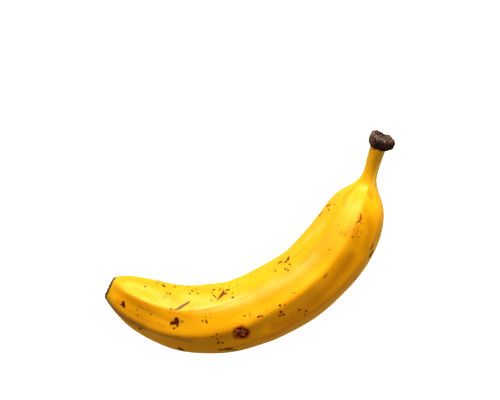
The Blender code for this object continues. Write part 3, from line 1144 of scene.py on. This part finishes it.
def make_stump():
    bm = stump_form()
    points, normals, unbent = measured(bm)
    along, outwards, upwards = unbent.T
    rim = stump_radii(np.degrees(np.arctan2(upwards, outwards))) - STUMP_RIM
    share = np.hypot(outwards, upwards) / rim
    on_face = (1 - within(share, *FACE_RIM)) * (along < STUMP_RIM)
    turn, out, size, depth = FACE_SOCKET
    socket_at = np.array([math.cos(turn), math.sin(turn)]) * out * STUMP_HALF_WIDTH
    from_socket = np.linalg.norm(unbent[:, 1:] - socket_at, axis=1) / (size * STUMP_HALF_WIDTH)
    socket = np.exp(-(from_socket**2)) * on_face
    wood = rough_at(unbent, WOOD_GRAIN, 0.9, 4)
    grain = rough_at(unbent, FINE_GRAIN, 0.8, 3)
    pits = np.array([noise.voronoi(Vector(point * PIT_GRAIN))[0][0] for point in unbent])
    pit = on_face * (1 - within(pits, *PIT_SIZES)) * (1 - socket)
    pit *= within(-upwards - outwards * PIT_LEAN, *PIT_SIDE)
    rolls = np.exp(-(((share - ROLL_AT) / ROLL_WIDTH) ** 2)) * (along < ROLL_TO)
    relief = (1 - on_face) * (wood * WOOD_RELIEF + grain * WALL_RELIEF)
    relief += on_face * (grain * FACE_RELIEF - pit * PIT_RELIEF - socket * depth)
    relief += rolls * (ROLL_RELIEF + ROLL_LUMPS * wood)
    calm = 1 - within(along, STUMP_EDGE - CALM_FROM, STUMP_EDGE)
    moved = points + (relief * np.maximum(calm, CALM_RELIEF))[:, None] * normals
    return finished_mesh("stump", bm, moved, {"face": on_face, "socket": socket, "pit": pit, "roll": rolls})


WALL_DARK = painted(44, 26, 20)
WALL_GREY = painted(126, 106, 92)
WALL_MAROON = painted(64, 24, 16)
FACE_GREY = painted(160, 142, 132)
FACE_BROWN = painted(72, 50, 44)
SOCKET_RED = painted(86, 50, 40)
PIT_BLACK = painted(20, 14, 12)
ROLL_TAN = painted(128, 108, 96)
EDGE_RUST = painted(110, 50, 14)


# Grains and fades, as for the peel
STUMP_FIBRES = 2600
WALL_GRAIN = (420, 4, 0.6)
WEATHERED_GRAIN = (1500, 3, 0.6)
FACE_GRAIN = (900, 4, 0.65)
WOOD_BUMP_GRAIN = (3200, 3, 0.6)
MAROON_FADE = (0.4, 0.62)
FLECK_FADE = (0.35, 0.65, 0.2, 0.8)
WEATHERED_FADE = (0.4, 0.6, 0.1, 0.8)
# The grey weathering is kept to the lit inner side, as painted light
LIT_SIDE_WEATHERING_FADE = (-0.002, -0.006)
FACE_GREY_FADE = (0.46, 0.6)
SOCKET_STRENGTH = 0.85
FACE_RED_FADE = (0.0015, 0.006, 0, 0.9)
LAP_DRIFT = (0.3, 0.7, -0.0016, 0.0016)
LAP_FADE = (0.003, 0.0014, 0, 0.85)
ROLL_FADE = (0.38, 0.6, 0.1, 0.8)
PIT_FADE = (0.2, 0.7)
RUST_FADE = (STUMP_EDGE - 0.0011, STUMP_EDGE + 0.0002, 0, 0.7)
STUMP_ROUGHNESS = (0.3, 0.7, 0.62, 0.85)
DRIED_BUMP = 0.6


def stump_material():
    material, tree, shader = new_material("dried_stem")
    unbent = field(tree, "unbent", "Vector")
    place = add(tree, "SeparateXYZ", {0: unbent}).outputs
    along, outwards = place["X"], place["Y"]
    fibre = fibres(tree, unbent, STUMP_FIBRES)
    blotches = speckle(tree, unbent, *WALL_GRAIN)
    colour = over(tree, WALL_DARK, WALL_MAROON, blotches, *MAROON_FADE)
    flecks = times(tree, fibre["Pale"], stepped(tree, blotches, *FLECK_FADE))
    colour = blended(tree, flecks, colour, WALL_GREY)
    # Grey weathering, kept to the inner side that faces the soft box: partly the stem's own grey and partly
    # painted light
    weathering_and_light = stepped(tree, speckle(tree, unbent, *WEATHERED_GRAIN), *WEATHERED_FADE)
    weathering_and_light = times(tree, stepped(tree, outwards, *LIT_SIDE_WEATHERING_FADE), weathering_and_light)
    colour = blended(tree, weathering_and_light, colour, WALL_GREY)

    face = over(tree, FACE_BROWN, FACE_GREY, speckle(tree, unbent, *FACE_GRAIN), *FACE_GREY_FADE)
    face = blended(tree, times(tree, field(tree, "socket"), SOCKET_STRENGTH), face, SOCKET_RED)
    face = over(tree, face, SOCKET_RED, outwards, *FACE_RED_FADE)
    lap = plus(tree, along, stepped(tree, blotches, *LAP_DRIFT))
    colour = over(tree, colour, face, lap, *LAP_FADE)
    colour = blended(tree, field(tree, "face"), colour, face)
    roll = times(tree, field(tree, "roll"), stepped(tree, blotches, *ROLL_FADE))
    colour = blended(tree, roll, colour, ROLL_TAN)
    colour = over(tree, colour, PIT_BLACK, field(tree, "pit"), *PIT_FADE)
    colour = over(tree, colour, EDGE_RUST, along, *RUST_FADE)
    tree.links.new(colour, shader.inputs["Base Color"])
    tree.links.new(stepped(tree, fibre["Height"], *STUMP_ROUGHNESS), shader.inputs["Roughness"])
    height = plus(tree, fibre["Height"], speckle(tree, unbent, *WOOD_BUMP_GRAIN))
    tree.links.new(bumped(tree, height, DRIED_BUMP), shader.inputs["Normal"])
    return material


stump = make_stump()
stump.data.materials.append(stump_material())
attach(stump, "root")
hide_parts("banana")


# The blossom scar closes the other end: a black, dried disc in a shallow dish, with radial wrinkles, a
# ragged rim that laps onto the peel, and the dried rest of the flower in its middle.
SCAR_FACE_COLUMNS = 40
SCAR_WALL_RINGS = 16
SCAR_FACE_RINGS = 40
SCAR_BACK = (0, 0.5)  # shares of the radius of the rings that close it inside the peel
SCAR_LAP = 0.0014  # how far its rim comes down the peel
SCAR_HIDDEN = 0.0012  # how much farther it goes on under the peel
SCAR_WOBBLE = 0.0003
SCAR_EDGE_LUMPS = 2.6  # for each radius
SCAR_EDGE_LEVEL = 3  # another part of the noise than the stump's edge uses
SCAR_EDGE_STEP = 0.0002
SCAR_PROUD = 0.00014
SCAR_TUCK = 0.0005
SCAR_DISH = 0.0012
NUB_SHARE = (0.1, 0.3)
NUB_HEIGHT = 0.0011
SCAR_GRAIN = 900
SCAR_RELIEF = 0.0002
SCAR_EVEN = (LENGTH - 0.0022, LENGTH - 0.001)  # it becomes uneven between these places
WRINKLES = 23
WRINKLE_SWAY = 3
WRINKLE_RELIEF = 0.00016
WRINKLES_FROM = (0.001, 0.003)
WRINKLES_TO = (0.0048, 0.0062)


def scar_form():
    """The plain scar: its wall with the rim, and its dish with the nub."""
    wall = np.linspace(LENGTH - SCAR_LAP - SCAR_HIDDEN, LENGTH, SCAR_WALL_RINGS)
    face = np.linspace(1, 0, SCAR_FACE_RINGS + 1)[1:]
    along = np.concatenate([np.full(len(SCAR_BACK), wall[0]), wall, np.full(len(face), LENGTH)])
    share = np.concatenate([SCAR_BACK, np.ones(len(wall)), face])[:, None]
    angle, radius = peel_radii(along, SCAR_FACE_COLUMNS)
    edge = LENGTH - SCAR_LAP
    edge += SCAR_WOBBLE * wobbled(np.radians(angle[-1]), SCAR_EDGE_LEVEL, SCAR_EDGE_LUMPS)
    shown = within(along[:, None], edge - SCAR_EDGE_STEP, edge + SCAR_EDGE_STEP)
    radius = radius - rounded_off(LENGTH - along, SCAR_RIM)[:, None]
    radius = radius + SCAR_PROUD * shown - SCAR_TUCK * (1 - shown)
    in_face = np.arange(len(along))[:, None] >= len(SCAR_BACK) + len(wall)
    nub = NUB_HEIGHT * (1 - within(share, *NUB_SHARE))
    dish = (nub - SCAR_DISH * (1 - share**4)) * in_face
    return rolled_up(*placed(along, angle, radius * share, BODY_ROUNDNESS, dish))


def make_scar():
    bm = scar_form()
    points, normals, unbent = measured(bm)
    along, outwards, upwards = unbent.T
    out = np.hypot(outwards, upwards)
    rough = rough_at(unbent, SCAR_GRAIN, 0.9, 4)
    wrinkle = np.sin(WRINKLES * np.arctan2(upwards, outwards) + WRINKLE_SWAY * rough)
    wrinkle *= within(out, *WRINKLES_FROM) * (1 - within(out, *WRINKLES_TO))
    relief = (rough * SCAR_RELIEF + wrinkle * WRINKLE_RELIEF) * within(along, *SCAR_EVEN)
    moved = points + relief[:, None] * normals
    return finished_mesh("blossom_scar", bm, moved, {"rough": rough, "out": out / MILLIMETRE})


SCAR_BLACK = painted(34, 24, 20)
SCAR_BROWN = painted(92, 64, 44)
SCAR_GREY = painted(124, 106, 88)


# Grains and fades, as for the peel
SCAR_BLOTCHES = (700, 4, 0.62)
SCAR_BUMP_GRAIN = (2800, 3, 0.6)
SCAR_BROWN_FADE = (0.42, 0.66)
SCAR_LUMP_FADE = (0.1, 0.5, 0, 0.6)
SCAR_RIM_FADE = (4.6, 6.2, 0, 0.35)  # millimetres from its middle
SCAR_ROUGHNESS = (0.3, 0.7, 0.7, 0.9)


def scar_material():
    material, tree, shader = new_material("dried_blossom")
    unbent = field(tree, "unbent", "Vector")
    blotches = speckle(tree, unbent, *SCAR_BLOTCHES)
    colour = over(tree, SCAR_BLACK, SCAR_BROWN, blotches, *SCAR_BROWN_FADE)
    colour = over(tree, colour, SCAR_GREY, field(tree, "rough"), *SCAR_LUMP_FADE)
    colour = over(tree, colour, SCAR_GREY, field(tree, "out"), *SCAR_RIM_FADE)
    tree.links.new(colour, shader.inputs["Base Color"])
    tree.links.new(stepped(tree, blotches, *SCAR_ROUGHNESS), shader.inputs["Roughness"])
    lumps = speckle(tree, unbent, *SCAR_BUMP_GRAIN)
    tree.links.new(bumped(tree, lumps, DRIED_BUMP), shader.inputs["Normal"])
    return material


scar = make_scar()
scar.data.materials.append(scar_material())
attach(scar, "root")
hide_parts("banana")
